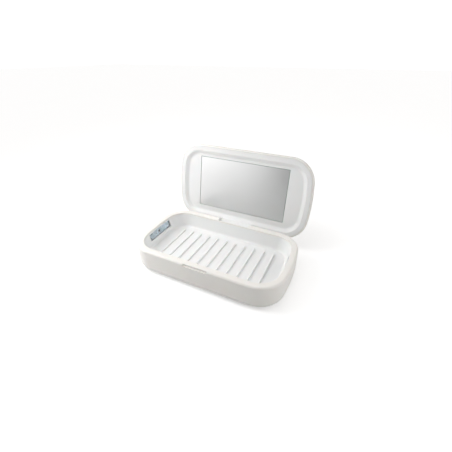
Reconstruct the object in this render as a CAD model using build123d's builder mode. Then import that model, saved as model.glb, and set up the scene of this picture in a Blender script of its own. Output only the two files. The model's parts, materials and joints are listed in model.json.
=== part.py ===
"""Flat ultraviolet sterilizer case with a mirrored flip-up lid, in millimetres.

The case rests on its four feet at z = 0, centred on x = 0 and y = 0 (base plan).
+X is the user's right, -Y the front with the finger notch, +Y the hinged back.
The lid is drawn in its open rest pose, leaning back on its stop.
"""
import os
from math import atan2, cos, degrees, radians, sin, sqrt, tan

from build123d import *

os.makedirs("parts", exist_ok=True)

# ---------------------------------------------------------------- outer form
length, width = 220.0, 124.0      # plan size of base and lid
corner_r = 36.0                   # plan corner radius of the outer wall
end_crown_r = 260.0               # radius of the gently bowed ends
foot_proud = 1.2                  # the feet lift the underside by this
rim_z = 36.0                      # height of the base's flat rim
base_wall = 2.2                   # outer shell wall
base_bottom_r = 9.0               # soft edge round the underside
rim_edge_r = 3.0                  # soft edge outside each flat rim
rim_t = 2.4                       # thickness of the base's rim plate
rim_inset = 9.0                   # outer wall to rim opening, front and ends
rim_back_extra = 2.2              # the rim is this much wider at the back
lip_r = 0.6                       # broken edge of the rim opening

# ---------------------------------------------------------------- tray
tray_t = 1.5                      # tray wall
tray_step = 0.3                   # tray wall sits this far inside the opening
tray_lean = 13.0                  # degrees the tray walls lean in
tray_floor_z = 14.0
tray_foot_r = 4.0                 # soft inner edge round the tray floor
rib_w, rib_h, rib_len, rib_pitch, rib_count = 2.4, 2.2, 66.0, 15.0, 11
rib_top_r = 0.8

# ---------------------------------------------------------------- lamp windows
window_z = 26.3                   # height of the window centres
window_l, window_h, window_t = 49.0, 11.0, 1.0
window_recess = 1.0               # window face behind the tray wall
seat_lip = 0.7                    # ledge the window rests on, each side
seat_gap = 0.15
reflector_t, reflector_hole_r = 0.4, 2.6
led_gap = 1.2                     # room for the lamp chip behind the reflector
led_board_t = 1.0
chip_size, chip_t, chip_dome_r = 3.5, 0.7, 1.2
lamp_ring_w = 1.2                 # wall round the lamp stack
hook_w, hook_over, hook_t = 6.0, 0.8, 0.8

# ---------------------------------------------------------------- hinge
hinge_y, hinge_z = 59.4, 24.5     # pin axis
lid_open = 98.9                   # degrees the lid stands open at rest
lug_half = 24.5                   # half length of the lid's hinge lug
lug_gap = 0.5                     # lug to base, each end
lug_r, lug_run = 6.8, 0.3         # lug radius and its clearance in the well
lug_heel_r = 3.1                  # lug radius behind the pin
pin_r, pin_run, pin_len, pin_in = 1.2, 0.05, 16.0, 9.5
ear_t = 6.5                       # base ear that holds each pin
well_wall = 1.2
lip_z = 21.2                      # top of the back wall under the lug: the stop

# ---------------------------------------------------------------- lid
lid_gap = 0.2                     # closed gap between the two rims
lid_t = 12.8                      # lid thickness
lid_top_r = 9.5                   # soft edge round the lid's top
lid_wall, lid_top_t = 3.0, 2.0
liner_gap = 0.2                   # liner to lid shell, all round
liner_t = 1.8
liner_rib = 1.2                   # walls of the channel behind the rim
liner_skirt = 4.0                 # depth of the liner's outer skirt
recess_depth, recess_run = 3.6, 7.0   # how deep, and how far its soft slope runs in
# the slope's shape: share of the run in, share of the depth down
recess_slope = [(-0.06, -0.09), (0.09, 0.04), (0.28, 0.25), (0.5, 0.54), (0.72, 0.82),
                (0.92, 0.965), (1.15, 1.0)]
mirror_l, mirror_w, mirror_t = 144.0, 81.0, 1.5
mirror_y = -2.2                   # mirror centre, towards the lid's free edge
mirror_sunk, mirror_gap, mirror_corner = 0.4, 0.4, 1.0
pad_t, pad_margin = 0.8, 6.0
pan_wall, pan_floor = 1.6, 1.4

# ---------------------------------------------------------------- front notch
notch_l, notch_depth, notch_z, notch_end_r = 36.0, 1.6, 32.8, 1.4

# ---------------------------------------------------------------- underside
cover_t, cover_gap, cover_edge = 2.2, 0.3, 1.0
foot_r, foot_sunk, foot_x, foot_y = 6.0, 0.8, 72.0, 44.5
cover_screw_x, cover_screw_y = 76.0, 18.0
boss_r, pilot_r = 3.0, 0.95
screw_r, screw_head_r, screw_head_t = 1.0, 2.1, 1.0
cover_screw_len = 8.0
rim_boss_z, rim_boss_r = 24.0, 2.5
tab_t, tab_w, tab_in, tab_out = 1.8, 6.0, 7.6, 1.8

# ---------------------------------------------------------------- electronics
board_z, board_t = 7.4, 1.2
board_x, board_y, board_l, board_w = -44.0, 39.0, 46.0, 35.0
usb_x, usb_w, usb_h, usb_len, usb_end_y = -52.0, 8.9, 3.2, 7.3, 61.0
usb_wall, usb_hole_gap = 0.3, 0.3
button_x, button_z, button_r, button_proud = -34.0, 12.9, 3.1, 0.7
button_gap, button_flange_r, button_flange_t = 0.15, 3.8, 0.8
button_travel = 0.4
switch_w, switch_h, switch_d, stem_r, stem_len = 6.0, 3.6, 3.2, 0.9, 1.6
pipe_x, pipe_z, pipe_r = -43.0, 12.9, 1.1
wire_r, wire_pitch = 0.5, 1.2      # internal wires; pitch along X, Y and Z
magnet_l, magnet_w, magnet_t, magnet_x = 10.0, 3.0, 3.0, 45.0
magnet_inset = 6.1                # magnet centre from the outer wall
sensor_x, sensor_y = 42.0, 55.9

# ---------------------------------------------------------------- derived
crown_x = length / 2 - end_crown_r
tray_top_z = rim_z - rim_t
tray_inset = rim_inset + tray_step
lean_tan = tan(radians(tray_lean))
open_s, open_c = sin(radians(lid_open)), cos(radians(lid_open))
rim_plane_dz = rim_z + lid_gap - hinge_z
window_x = length / 2 - tray_inset - (tray_top_z - window_z) * lean_tan
ring_depth = window_recess + window_t + reflector_t + led_gap + led_board_t
eps = 0.05                        # overshoot of cutting tools


# ================================================================ helpers
def outline_points(inset, back):
    """Corner centres and crown angles of the plan outline at an inset."""
    r, crown = corner_r - inset, end_crown_r - inset
    front_y = -(width / 2 - inset) + r
    back_y = width / 2 - inset - back - r
    front_x = crown_x + sqrt((crown - r) ** 2 - front_y**2)
    back_x = crown_x + sqrt((crown - r) ** 2 - back_y**2)
    return r, crown, (front_x, front_y), (back_x, back_y)


def plan_face(inset, back=0.0):
    """Plan outline, moved in by an inset, as a face in the XY plane."""
    r, crown, (fx, fy), (bx, by) = outline_points(inset, back)
    fa, ba = atan2(fy, fx - crown_x), atan2(by, bx - crown_x)
    half_f, half_b = (fa - radians(90)) / 2, (ba + radians(90)) / 2
    right = [
        (fx, fy - r), (fx + r * cos(half_f), fy + r * sin(half_f)),
        (crown_x + crown * cos(fa), crown * sin(fa)), (crown_x + crown, 0),
        (crown_x + crown * cos(ba), crown * sin(ba)),
        (bx + r * cos(half_b), by + r * sin(half_b)), (bx, by + r),
    ]
    left = [(-x, y) for x, y in reversed(right)]
    edges = [Edge.make_line(left[-1], right[0]), Edge.make_line(right[-1], left[0])]
    for chain in (right, left):
        for i in (0, 2, 4):
            edges.append(Edge.make_three_point_arc(*chain[i:i + 3]))
    return Face(Wire(edges))


def lid_plane(height, x=0.0, y=0.0):
    """Plane parallel to the lid's rim, at a height into the lid, lid open.

    Local X and Y are the plan X and Y of the closed lid.
    """
    dy, dz = y - hinge_y, rim_plane_dz + height
    origin = (x, hinge_y + dy * open_c + dz * open_s, hinge_z - dy * open_s + dz * open_c)
    return Plane(origin=origin, x_dir=(1, 0, 0), z_dir=(0, open_s, open_c))


def hinge_plane(x, opened):
    """Plane across the hinge axis; local X is back, local Y is up when closed."""
    if opened:
        return Plane(origin=(x, hinge_y, hinge_z), x_dir=(0, open_c, -open_s), z_dir=(1, 0, 0))
    return Plane(origin=(x, hinge_y, hinge_z), x_dir=(0, 1, 0), z_dir=(1, 0, 0))


def lamp_plane(side, depth):
    """Plane of one end window, at a depth behind the tray wall; local Y is up."""
    n = (-side * cos(radians(tray_lean)), 0, sin(radians(tray_lean)))
    origin = (side * window_x - n[0] * depth, 0, window_z - n[2] * depth)
    return Plane(origin=origin, x_dir=(0, -side, 0), z_dir=n)


def back_plane(y):
    """Plane facing the back, at a distance along Y; local X is -X, local Y is up."""
    return Plane(origin=(0, y, 0), x_dir=(-1, 0, 0), z_dir=(0, 1, 0))


def tray_inset_at(z, thicker=0.0):
    """Inset of the leaning tray wall at a height."""
    return tray_inset - thicker + (tray_top_z - z) * lean_tan


def corner_spot(inset):
    """Point on the diagonal of the front and back right plan corners."""
    r, _, (fx, fy), _ = outline_points(0.0, 0.0)
    reach = (r - inset) * cos(radians(45))
    return fx + reach, -(fy - reach)


def screw_body(shank_len, head_t, head_r=screw_head_r, shank_r=screw_r):
    """Cross-recessed screw, its shank up +Z from the underside of its head."""
    cross = head_r * 0.55
    with BuildPart() as screw:
        Cylinder(shank_r, shank_len, align=(Align.CENTER, Align.CENTER, Align.MIN))
        Cylinder(head_r, head_t, align=(Align.CENTER, Align.CENTER, Align.MAX))
        chamfer(screw.edges().group_by(Axis.Z)[-1], shank_r * 0.4)
        fillet(screw.edges().group_by(Axis.Z)[0], head_t * 0.3)
        with BuildSketch(Plane.XY.offset(-head_t)):
            Rectangle(2 * cross, cross * 0.4)
            Rectangle(cross * 0.4, 2 * cross)
        extrude(amount=head_t * 0.6, mode=Mode.SUBTRACT)
    return screw.part


boss_spot = corner_spot((base_wall + rim_inset - tray_t) / 2 - 0.4)
corner_spots = [(sx * boss_spot[0], sy * boss_spot[1]) for sx in (-1, 1) for sy in (-1, 1)]
cover_spots = [(sx * cover_screw_x, sy * cover_screw_y) for sx in (-1, 1) for sy in (-1, 1)]
foot_spots = [(sx * foot_x, sy * foot_y) for sx in (-1, 1) for sy in (-1, 1)]
board_spots = [(board_x - board_l / 2 + 4, board_y - board_w / 2 + 4),
               (board_x + board_l / 2 - 4, board_y - board_w / 2 + 4),
               (board_x + 1.0, board_y + 4.0)]
cover_z0 = foot_proud
cover_z1 = foot_proud + cover_t
tray_under_z = tray_floor_z - tray_t
board_top = board_z + board_t
inside_back_y = width / 2 - base_wall

# ================================================================ base shell
with BuildPart() as base_cavity:
    with BuildSketch(Plane.XY.offset(foot_proud + base_wall)):
        add(plan_face(base_wall))
    extrude(amount=tray_top_z - foot_proud - base_wall)
    fillet(base_cavity.edges().group_by(Axis.Z)[0], base_bottom_r - base_wall)

with BuildPart() as base_shell:
    with BuildSketch(Plane.XY.offset(foot_proud)):
        add(plan_face(0.0))
    extrude(amount=rim_z - foot_proud)
    fillet(base_shell.edges().group_by(Axis.Z)[-1], rim_edge_r)
    fillet(base_shell.edges().group_by(Axis.Z)[0], base_bottom_r)
    add(base_cavity.part, mode=Mode.SUBTRACT)
    with BuildSketch(Plane.XY.offset(foot_proud - eps)):
        add(plan_face(base_bottom_r + cover_edge))
    extrude(amount=base_wall + 2 * eps + 1.0, mode=Mode.SUBTRACT)
    with BuildSketch(Plane.XY.offset(tray_top_z - eps)):
        add(plan_face(rim_inset, rim_back_extra))
    extrude(amount=rim_t + 2 * eps, mode=Mode.SUBTRACT)
    opening = base_shell.edges().filter_by_position(Axis.Z, rim_z - eps, rim_z + eps)
    inner = opening.filter_by(lambda e: abs(e.center().X) < length / 2 - rim_edge_r - 2
                              and abs(e.center().Y) < width / 2 - rim_edge_r - 2)
    fillet(inner, lip_r)
    # bosses that take the tray screws, under the rim at the four corners
    with BuildSketch(Plane.XY.offset(rim_boss_z)):
        with Locations(*corner_spots):
            Circle(rim_boss_r)
    extrude(amount=tray_top_z - rim_boss_z)
    with BuildSketch(Plane.XY.offset(rim_boss_z)):
        with Locations(*corner_spots):
            Circle(pilot_r)
    extrude(amount=6.5, mode=Mode.SUBTRACT)
    # hinge ears and the well the lug turns in
    for side in (-1, 1):
        with BuildSketch(hinge_plane(side * (lug_half + lug_gap), False)):
            with Locations((-1.6, -0.2)):
                RectangleRounded(5.4, 9.0, 1.2)
            with Locations((1.0, 0.0)):
                Rectangle(2.4, 9.0)
        extrude(amount=side * ear_t)
    with BuildSketch(hinge_plane(-lug_half - lug_gap - well_wall, False)):
        Circle(lug_r + lug_run + well_wall)
        with Locations((0, 5.0)):
            Rectangle(40, 10, mode=Mode.SUBTRACT)
        with Locations((-(lug_r + lug_run + well_wall / 2), 1.5)):
            Rectangle(well_wall, 3.0 + 2 * eps)
        with Locations((inside_back_y + 0.4 - hinge_y + 5, 0)):
            Rectangle(10, 40, mode=Mode.SUBTRACT)
    extrude(amount=2 * (lug_half + lug_gap + well_wall))
    for side in (-1, 1):
        with BuildSketch(hinge_plane(side * (lug_half + lug_gap), False)):
            with Locations((-3.35, -2.0)):
                Rectangle(7.3, 11.6)
            with Locations((-2.9, 4.0 + (tray_top_z - hinge_z - 4.0) / 2)):
                Rectangle(7.0, tray_top_z - hinge_z - 4.0 + 2 * eps)
        extrude(amount=side * well_wall)
    with BuildSketch(hinge_plane(-lug_half - lug_gap, False)):
        with BuildLine():
            r_cut = lug_r + lug_run
            back_in = inside_back_y - hinge_y
            low = -sqrt(r_cut**2 - back_in**2)
            ThreePointArc((-r_cut, 0), (-r_cut * cos(radians(45)), -r_cut * sin(radians(45))),
                          (back_in, low))
            Line((back_in, low), (back_in, lip_z - hinge_z))
            Line((back_in, lip_z - hinge_z), (10, lip_z - hinge_z))
            Line((10, lip_z - hinge_z), (10, rim_z - hinge_z + 2))
            Line((10, rim_z - hinge_z + 2), (-r_cut, rim_z - hinge_z + 2))
            Line((-r_cut, rim_z - hinge_z + 2), (-r_cut, 0))
        make_face()
    extrude(amount=2 * (lug_half + lug_gap), mode=Mode.SUBTRACT)
    with BuildSketch(hinge_plane(-lug_half - lug_gap - ear_t + 1.0, False)):
        Circle(pin_r)
    extrude(amount=2 * (lug_half + lug_gap + ear_t - 1.0), mode=Mode.SUBTRACT)
    # finger notch in the soft front edge
    with BuildSketch(Plane.XY.offset(notch_z)):
        with Locations((0, -width / 2 - 5 + notch_depth)):
            RectangleRounded(notch_l, 10, notch_end_r)
    extrude(amount=rim_z - notch_z + 1, mode=Mode.SUBTRACT)
    # back wall: charging inlet, button and status light
    with BuildSketch(back_plane(inside_back_y - 2)):
        with Locations((-usb_x, board_top + usb_h / 2)):
            RectangleRounded(usb_w + 2 * usb_hole_gap, usb_h + 2 * usb_hole_gap, 1.6)
        with Locations((-button_x, button_z)):
            Circle(button_r + button_gap)
        with Locations((-pipe_x, pipe_z)):
            Circle(pipe_r + 0.05)
    extrude(amount=base_wall + 4, mode=Mode.SUBTRACT)
    # block that carries the lid sensor under the back rim
    with BuildSketch(Plane.XY.offset(tray_top_z - 2.4)):
        with Locations((sensor_x, sensor_y)):
            Rectangle(6, 5)
    extrude(amount=2.4)
base_shell.part.label = "base_shell"

# ================================================================ tray
with BuildPart() as tray_hollow:
    for z in (tray_top_z, tray_floor_z):
        with BuildSketch(Plane.XY.offset(z)):
            add(plan_face(tray_inset_at(z), rim_back_extra))
    loft()
    fillet(tray_hollow.edges().group_by(Axis.Z)[0], tray_foot_r)

ring_l = window_l + 2 * (seat_lip + seat_gap + lamp_ring_w)
ring_h = window_h + 2 * (seat_lip + seat_gap + lamp_ring_w)
with BuildPart() as tray:
    for z in (tray_top_z, tray_under_z):
        with BuildSketch(Plane.XY.offset(z)):
            add(plan_face(tray_inset_at(z, tray_t), rim_back_extra))
    loft()
    for side in (-1, 1):
        with BuildSketch(lamp_plane(side, 0.6)):
            RectangleRounded(ring_l, ring_h, 1.5)
        extrude(amount=-(ring_depth - 0.6))
    add(tray_hollow.part, mode=Mode.SUBTRACT)
    for side in (-1, 1):
        with BuildSketch(lamp_plane(side, -6.0)):
            RectangleRounded(window_l, window_h, 1.0)
        extrude(amount=-(6.0 + window_recess + eps), mode=Mode.SUBTRACT)
        with BuildSketch(lamp_plane(side, window_recess)):
            RectangleRounded(window_l + 2 * (seat_lip + seat_gap),
                             window_h + 2 * (seat_lip + seat_gap), 1.0)
        extrude(amount=-(ring_depth - window_recess + eps), mode=Mode.SUBTRACT)
        for end in (-1, 1):
            with BuildSketch(lamp_plane(side, ring_depth)):
                with Locations((end * (ring_l / 2 - lamp_ring_w / 2 - hook_over / 2), 0)):
                    Rectangle(lamp_ring_w + hook_over, hook_w)
            extrude(amount=-hook_t)
    # tabs for the rim screws and bosses for the cover screws
    for cx, cy in corner_spots:
        turn = 45 * (1 if cx * cy > 0 else -1) + (0 if cx > 0 else 180)
        with BuildSketch(Plane.XY.offset(rim_boss_z - tab_t)):
            with Locations(Location((cx, cy, 0), (0, 0, turn))):
                with Locations(((tab_out - tab_in) / 2, 0)):
                    RectangleRounded(tab_in + tab_out, tab_w, 1.2)
        extrude(amount=tab_t)
    add(tray_hollow.part, mode=Mode.SUBTRACT)
    # support ribs that lift the contents off the floor
    with BuildSketch(Plane.XY.offset(tray_floor_z - eps)):
        with GridLocations(rib_pitch, 0, rib_count, 1):
            SlotOverall(rib_len, rib_w, rotation=90)
    extrude(amount=rib_h + eps)
    fillet(tray.edges().filter_by_position(Axis.Z, tray_floor_z + rib_h - eps,
                                           tray_floor_z + rib_h + eps), rib_top_r)
    with BuildSketch(Plane.XY.offset(rim_boss_z - tab_t - eps)):
        with Locations(*corner_spots):
            Circle(screw_r + 0.2)
    extrude(amount=tab_t + 2 * eps, mode=Mode.SUBTRACT)
    with BuildSketch(Plane.XY.offset(cover_z1 + 0.1)):
        with Locations(*cover_spots):
            Circle(boss_r)
    extrude(amount=tray_under_z - cover_z1 - 0.1 + 0.3)
    with BuildSketch(Plane.XY.offset(cover_z1)):
        with Locations(*cover_spots):
            Circle(pilot_r)
    extrude(amount=cover_screw_len, mode=Mode.SUBTRACT)
tray.part.label = "tray"

# ================================================================ underside
with BuildPart() as bottom_cover:
    with BuildSketch(Plane.XY.offset(cover_z0)):
        add(plan_face(base_bottom_r + cover_edge + cover_gap))
    extrude(amount=cover_t)
    with BuildSketch(Plane.XY.offset(cover_z0)):
        with Locations(*foot_spots):
            Circle(foot_r)
    extrude(amount=foot_sunk, mode=Mode.SUBTRACT)
    with BuildSketch(Plane.XY.offset(cover_z0)):
        with Locations(*cover_spots):
            Circle(screw_head_r + 0.3)
    extrude(amount=screw_head_t + 0.2, mode=Mode.SUBTRACT)
    with BuildSketch(Plane.XY.offset(cover_z0)):
        with Locations(*cover_spots):
            Circle(screw_r + 0.2)
    extrude(amount=cover_t, mode=Mode.SUBTRACT)
    with BuildSketch(Plane.XY.offset(cover_z1)):
        with Locations(*board_spots):
            Circle(2.4)
    extrude(amount=board_z - cover_z1)
    with BuildSketch(Plane.XY.offset(cover_z1)):
        with Locations(*board_spots):
            Circle(pilot_r)
    extrude(amount=board_z - cover_z1, mode=Mode.SUBTRACT)
bottom_cover.part.label = "bottom_cover"

with BuildPart() as feet:
    with BuildSketch(Plane.XY.offset(0.0)):
        with Locations(*foot_spots):
            Circle(foot_r - 0.1)
    extrude(amount=foot_proud + foot_sunk)
    fillet(feet.edges().group_by(Axis.Z)[0], 0.6)
feet.part.label = "feet"

cover_screw = screw_body(cover_screw_len - 0.4, screw_head_t)
with BuildPart() as cover_screws:
    with Locations(*[(x, y, cover_z0 + screw_head_t + 0.2) for x, y in cover_spots]):
        add(cover_screw)
cover_screws.part.label = "cover_screws"

tab_screw = screw_body(tab_t + 5.0, 1.2)
with BuildPart() as tray_screws:
    with Locations(*[(x, y, rim_boss_z - tab_t) for x, y in corner_spots]):
        add(tab_screw)
tray_screws.part.label = "tray_screws"

# ================================================================ end lamps
plate_l = window_l + 2 * seat_lip
plate_h = window_h + 2 * seat_lip
lamp_parts = {}
for side, name in ((-1, "left"), (1, "right")):
    with BuildPart() as window:
        with BuildSketch(lamp_plane(side, window_recess)):
            RectangleRounded(plate_l, plate_h, 0.8)
        extrude(amount=-window_t)
    window.part.label = f"{name}_window"
    with BuildPart() as reflector:
        with BuildSketch(lamp_plane(side, window_recess + window_t)):
            RectangleRounded(plate_l, plate_h, 0.8)
            Circle(reflector_hole_r, mode=Mode.SUBTRACT)
        extrude(amount=-reflector_t)
    reflector.part.label = f"{name}_reflector"
    with BuildPart() as led_board:
        with BuildSketch(lamp_plane(side, ring_depth - led_board_t)):
            RectangleRounded(plate_l, plate_h, 0.8)
        extrude(amount=-led_board_t)
        for end in (-1, 1):
            with BuildSketch(lamp_plane(side, ring_depth - led_board_t)):
                with Locations((end * 9.0, 0)):
                    Rectangle(3.2, 1.6)
            extrude(amount=0.6)
    led_board.part.label = f"{name}_led_board"
    with BuildPart() as uv_led:
        with BuildSketch(lamp_plane(side, ring_depth - led_board_t)):
            Rectangle(chip_size, chip_size)
        extrude(amount=chip_t)
        with BuildSketch(lamp_plane(side, ring_depth - led_board_t - chip_t)):
            Circle(chip_dome_r)
        extrude(amount=0.5)
        dome = uv_led.edges().filter_by(GeomType.CIRCLE).sort_by_distance((0, 0, window_z))
        fillet(dome[0], 0.35)
    uv_led.part.label = f"{name}_uv_led"
    lamp_parts[name] = (window, reflector, led_board, uv_led)

# ================================================================ electronics
with BuildPart() as main_board:
    with BuildSketch(Plane.XY.offset(board_z)):
        with Locations((board_x, board_y)):
            RectangleRounded(board_l, board_w, 1.5)
        with Locations(*board_spots):
            Circle(screw_r + 0.15, mode=Mode.SUBTRACT)
    extrude(amount=board_t)
main_board.part.label = "main_board"

board_screw = screw_body(board_t + 3.0, 0.9, 1.8, 0.85)
with BuildPart() as board_screws:
    with Locations(*[Location((x, y, board_top), (180, 0, 0)) for x, y in board_spots]):
        add(board_screw)
board_screws.part.label = "board_screws"

with BuildPart() as controller_chip:
    with BuildSketch(Plane.XY.offset(board_top)):
        with Locations((board_x - 4, board_y - 7)):
            Rectangle(7, 7)
    extrude(amount=1.1)
    with BuildSketch(Plane.XY.offset(board_top)):
        with Locations((board_x + 10, board_y - 9)):
            Rectangle(5, 4)
    extrude(amount=1.2)
controller_chip.part.label = "controller_chips"

with BuildPart() as power_coil:
    with BuildSketch(Plane.XY.offset(board_top)):
        with Locations((board_x - 14, board_y - 2)):
            RectangleRounded(6.2, 6.2, 0.8)
    extrude(amount=2.8)
    fillet(power_coil.edges().group_by(Axis.Z)[-1], 0.5)
power_coil.part.label = "power_coil"

with BuildPart() as capacitors:
    with BuildSketch(Plane.XY.offset(board_top)):
        with Locations((board_x + 2, board_y + 11), (board_x - 18, board_y + 3.5)):
            Circle(2.0)
    extrude(amount=3.2)
    fillet(capacitors.edges().group_by(Axis.Z)[-1], 0.3)
capacitors.part.label = "capacitors"

plug_spots = [(board_x - 20.0, board_y - 4.0), (board_x + 20.0, board_y - 4.0),
              (board_x + 20.0, board_y + 6.0)]
with BuildPart() as wire_plugs:
    with BuildSketch(Plane.XY.offset(board_top)):
        with Locations(*plug_spots):
            Rectangle(4.0, 6.0)
    extrude(amount=3.0)
wire_plugs.part.label = "wire_plugs"

usb_mid_z = board_top + usb_h / 2
with BuildPart() as usb_shell:
    with BuildSketch(back_plane(usb_end_y - usb_len)):
        with Locations((-usb_x, usb_mid_z)):
            RectangleRounded(usb_w, usb_h, 1.4)
    extrude(amount=usb_len)
    with BuildSketch(back_plane(usb_end_y - usb_len + 1.0)):
        with Locations((-usb_x, usb_mid_z)):
            RectangleRounded(usb_w - 2 * usb_wall, usb_h - 2 * usb_wall, 1.1)
    extrude(amount=usb_len, mode=Mode.SUBTRACT)
usb_shell.part.label = "usb_shell"

with BuildPart() as usb_tongue:
    with BuildSketch(back_plane(usb_end_y - usb_len + 1.0)):
        with Locations((-usb_x, usb_mid_z)):
            Rectangle(6.2, 0.7)
    extrude(amount=usb_len - 2.0)
usb_tongue.part.label = "usb_tongue"

button_back_y = inside_back_y - 0.1
stem_y = button_back_y - button_flange_t - 0.1
with BuildPart() as power_button:
    with BuildSketch(back_plane(button_back_y - button_flange_t)):
        with Locations((-button_x, button_z)):
            Circle(button_flange_r)
    extrude(amount=button_flange_t)
    with BuildSketch(back_plane(button_back_y)):
        with Locations((-button_x, button_z)):
            Circle(button_r)
    extrude(amount=width / 2 - button_back_y + button_proud)
    fillet(power_button.edges().group_by(Axis.Y)[-1], 0.4)
power_button.part.label = "power_button"

with BuildPart() as switch_stem:
    with BuildSketch(back_plane(stem_y - stem_len - 0.6)):
        with Locations((-button_x, button_z)):
            Circle(stem_r)
    extrude(amount=stem_len + 0.6)
switch_stem.part.label = "switch_stem"

with BuildPart() as tact_switch:
    with BuildSketch(back_plane(stem_y - stem_len - switch_d)):
        with Locations((-button_x, button_z)):
            Rectangle(switch_w, 2 * (button_z - board_top))
    extrude(amount=switch_d)
    with BuildSketch(back_plane(stem_y - stem_len - 0.6 - button_travel - 0.2)):
        with Locations((-button_x, button_z)):
            Circle(stem_r + 0.06)
    extrude(amount=3.0, mode=Mode.SUBTRACT)
tact_switch.part.label = "tact_switch"

with BuildPart() as light_pipe:
    with BuildSketch(back_plane(inside_back_y - 2.2)):
        with Locations((-pipe_x, pipe_z)):
            Circle(pipe_r + 0.6)
    extrude(amount=2.0)
    with BuildSketch(back_plane(inside_back_y - 0.2)):
        with Locations((-pipe_x, pipe_z)):
            Circle(pipe_r)
    extrude(amount=base_wall + 0.2)
light_pipe.part.label = "light_pipe"

with BuildPart() as status_led:
    with BuildSketch(Plane.XY.offset(board_top)):
        with Locations((pipe_x, board_y + board_w / 2 - 1.6)):
            Rectangle(3.0, 2.2)
    extrude(amount=2.8)
status_led.part.label = "status_led"

with BuildPart() as lid_sensor:
    with BuildSketch(Plane.XY.offset(tray_top_z - 2.4 - 1.5)):
        with Locations((sensor_x, sensor_y)):
            Rectangle(4.0, 3.0)
    extrude(amount=1.5)
lid_sensor.part.label = "lid_sensor"


def wire_run(points, leave, arrive):
    """Round wire of the open part, swept along a smooth run of points."""
    with BuildPart() as wire:
        with BuildLine() as path:
            Spline(*points, tangents=(leave, arrive))
        with BuildSketch(Plane(origin=path.line @ 0, z_dir=path.line % 0)):
            Circle(wire_r)
        sweep()
    return wire.part


lamp_back_x = window_x + (ring_depth + 0.15) * cos(radians(tray_lean))
lamp_back_z = window_z - (ring_depth + 0.15) * sin(radians(tray_lean))
wire_end_z = lamp_back_z - 3.5
wire_end_x = lamp_back_x + 3.5 * lean_tan + wire_r + 0.3
left_wire_list, right_wire_list = [], []
for k in (-1, 1):
    d = k * wire_pitch / 2
    left_wire_list.append(wire_run(
        [(plug_spots[0][0] - 2.0, plug_spots[0][1] + d, board_top + 1.6 + d),
         (-82.0 - d, 30.0 + d, 7.6 + d), (-96.0 - d, 16.0 + d, 7.4 + d),
         (-wire_end_x, 9.0 + d, wire_end_z + d)],
        (-1, 0, 0), (0.0, 0.0, 1)))
    right_wire_list.append(wire_run(
        [(plug_spots[1][0] + 2.0, plug_spots[1][1] + d, board_top + 1.6 + d),
         (20.0, 36.0 + d, 8.6 + d), (80.0 + d, 29.0 + d, 8.0 + d),
         (wire_end_x, 9.0 + d, wire_end_z + d)],
        (1, 0, 0), (0.0, 0.0, 1)))

with BuildPart() as left_wires:
    for wire in left_wire_list:
        add(wire)
left_wires.part.label = "left_wires"

with BuildPart() as right_wires:
    for wire in right_wire_list:
        add(wire)
right_wires.part.label = "right_wires"

sensor_run = wire_run(
    [(plug_spots[2][0] + 2.0, plug_spots[2][1], board_top + 1.6), (0.0, 52.0, 9.6),
     (26.0, 54.5, 13.0), (37.0, 55.5, 22.0), (sensor_x, sensor_y, tray_top_z - 2.4 - 1.5)],
    (1, 0, 0), (0.0, 0.0, 1))
with BuildPart() as sensor_wire:
    add(sensor_run)
sensor_wire.part.label = "sensor_wire"

magnet_y = -(width / 2 - magnet_inset)
with BuildPart() as base_magnets:
    with BuildSketch(Plane.XY.offset(tray_top_z - magnet_t)):
        with Locations((-magnet_x, magnet_y), (magnet_x, magnet_y)):
            Rectangle(magnet_l, magnet_w)
    extrude(amount=magnet_t)
base_magnets.part.label = "base_magnets"

# ================================================================ lid
lid_axis = Axis((0, 0, 0), (0, open_s, open_c))

with BuildPart() as lid_hollow:
    with BuildSketch(lid_plane(-eps)):
        add(plan_face(lid_wall))
    extrude(amount=lid_t - lid_top_t + eps)
    fillet(lid_hollow.edges().group_by(lid_axis)[-1], lid_top_r - lid_wall)

shell_boss_h = lid_t - lid_top_t - (recess_depth + mirror_sunk + mirror_t + pad_t + pan_floor)
lid_screw_spots = [(sx * 50.0, mirror_y + sy * 26.0) for sx in (-1, 1) for sy in (-1, 1)]
pan_back = recess_depth + mirror_sunk + mirror_t + pad_t + pan_floor
with BuildPart() as lid_shell:
    with BuildSketch(lid_plane(0.0)):
        add(plan_face(0.0))
    extrude(amount=lid_t)
    fillet(lid_shell.edges().group_by(lid_axis)[-1], lid_top_r)
    fillet(lid_shell.edges().group_by(lid_axis)[0], rim_edge_r - 0.2)
    add(lid_hollow.part, mode=Mode.SUBTRACT)
    with BuildSketch(lid_plane(pan_back)):
        with Locations(*lid_screw_spots):
            Circle(boss_r)
    extrude(amount=shell_boss_h + 0.3)
    with BuildSketch(lid_plane(pan_back)):
        with Locations(*lid_screw_spots):
            Circle(pilot_r)
    extrude(amount=shell_boss_h + 0.6, mode=Mode.SUBTRACT)
lid_shell.part.label = "lid_shell"

with BuildPart() as recess_tool:
    for share_in, share_deep in recess_slope:
        with BuildSketch(lid_plane(share_deep * recess_depth)):
            add(plan_face(rim_inset + share_in * recess_run))
    loft()

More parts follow.
